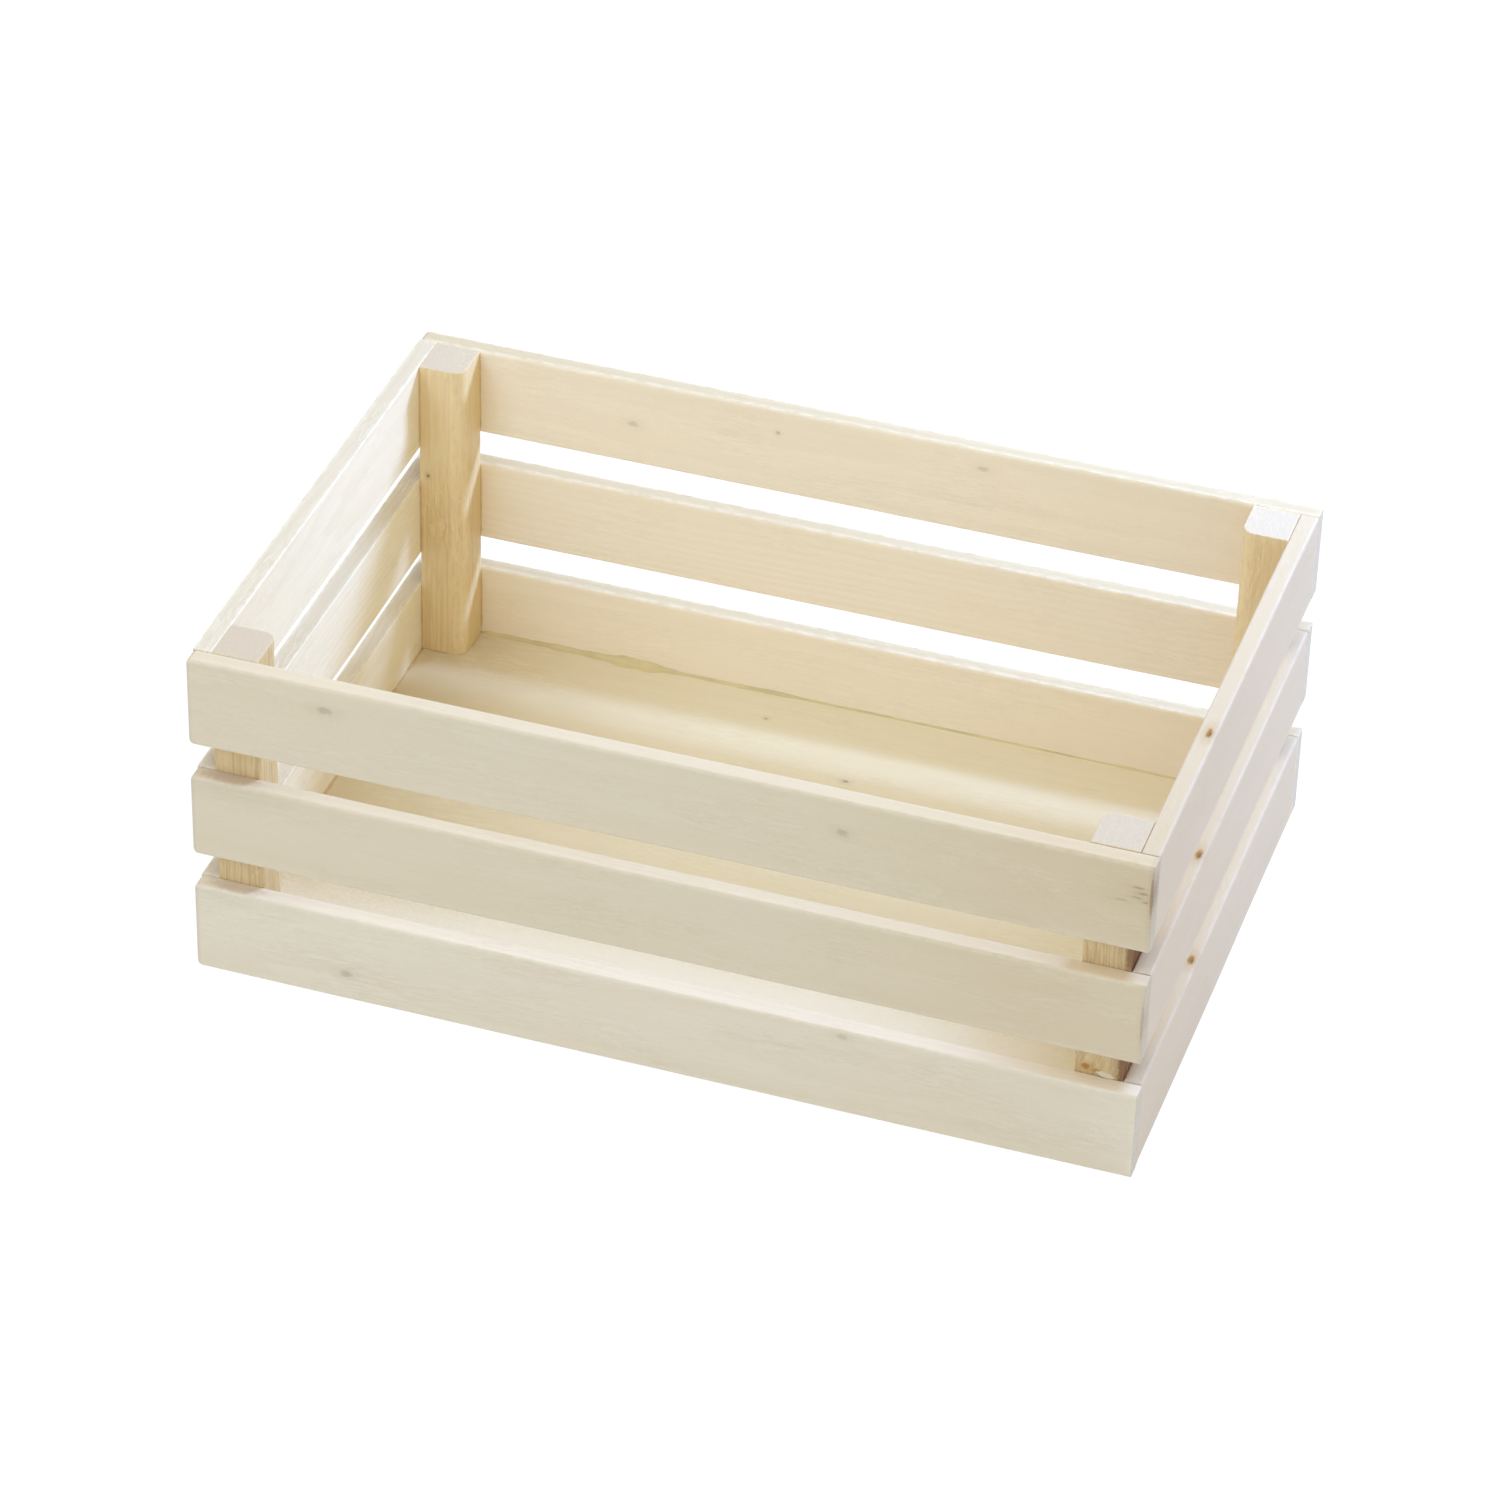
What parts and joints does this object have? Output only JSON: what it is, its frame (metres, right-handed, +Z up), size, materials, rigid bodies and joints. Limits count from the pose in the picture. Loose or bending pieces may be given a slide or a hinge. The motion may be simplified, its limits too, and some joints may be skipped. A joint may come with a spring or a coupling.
{
  "type": "apple crate",
  "caption": "Low open wooden crate with slatted walls on corner posts and a thin panel floor, for picking, carrying and showing fruit.",
  "frame": {"origin": "middle of the underside, where the crate rests", "axes": "+X along the length to the right, +Y from the front long wall to the back one, +Z up"},
  "size_m": [0.3, 0.2, 0.115],
  "materials": {
    "slat_wood": "bare pale hardwood, sanded, edges eased",
    "post_wood": "bare straight-grained softwood, planed, a tan darker than the slats",
    "floor_wood": "bare plywood face, sanded",
    "brad_steel": "bright drawn wire"
  },
  "bodies": {
    "root": {"front_bottom_slat": "slat_wood", "front_middle_slat": "slat_wood", "front_top_slat": "slat_wood", "right_bottom_slat": "slat_wood", "right_middle_slat": "slat_wood", "right_top_slat": "slat_wood", "back_bottom_slat": "slat_wood", "back_middle_slat": "slat_wood", "back_top_slat": "slat_wood", "left_bottom_slat": "slat_wood", "left_middle_slat": "slat_wood", "left_top_slat": "slat_wood", "front_left_post": "post_wood", "front_right_post": "post_wood", "back_left_post": "post_wood", "back_right_post": "post_wood", "floor_panel": "floor_wood", "front_bottom_slat_left_brad": "brad_steel", "front_bottom_slat_right_brad": "brad_steel", "front_middle_slat_left_brad": "brad_steel", "front_middle_slat_right_brad": "brad_steel", "front_top_slat_left_brad": "brad_steel", "front_top_slat_right_brad": "brad_steel", "right_bottom_slat_front_brad": "brad_steel", "right_bottom_slat_back_brad": "brad_steel", "right_middle_slat_front_brad": "brad_steel", "right_middle_slat_back_brad": "brad_steel", "right_top_slat_front_brad": "brad_steel", "right_top_slat_back_brad": "brad_steel", "back_bottom_slat_right_brad": "brad_steel", "back_bottom_slat_left_brad": "brad_steel", "back_middle_slat_right_brad": "brad_steel", "back_middle_slat_left_brad": "brad_steel", "back_top_slat_right_brad": "brad_steel", "back_top_slat_left_brad": "brad_steel", "left_bottom_slat_back_brad": "brad_steel", "left_bottom_slat_front_brad": "brad_steel", "left_middle_slat_back_brad": "brad_steel", "left_middle_slat_front_brad": "brad_steel", "left_top_slat_back_brad": "brad_steel", "left_top_slat_front_brad": "brad_steel", "floor_front_left_brad": "brad_steel", "floor_front_right_brad": "brad_steel", "floor_right_middle_brad": "brad_steel", "floor_back_right_brad": "brad_steel", "floor_back_left_brad": "brad_steel", "floor_left_middle_brad": "brad_steel"}
  },
  "joints": []
}
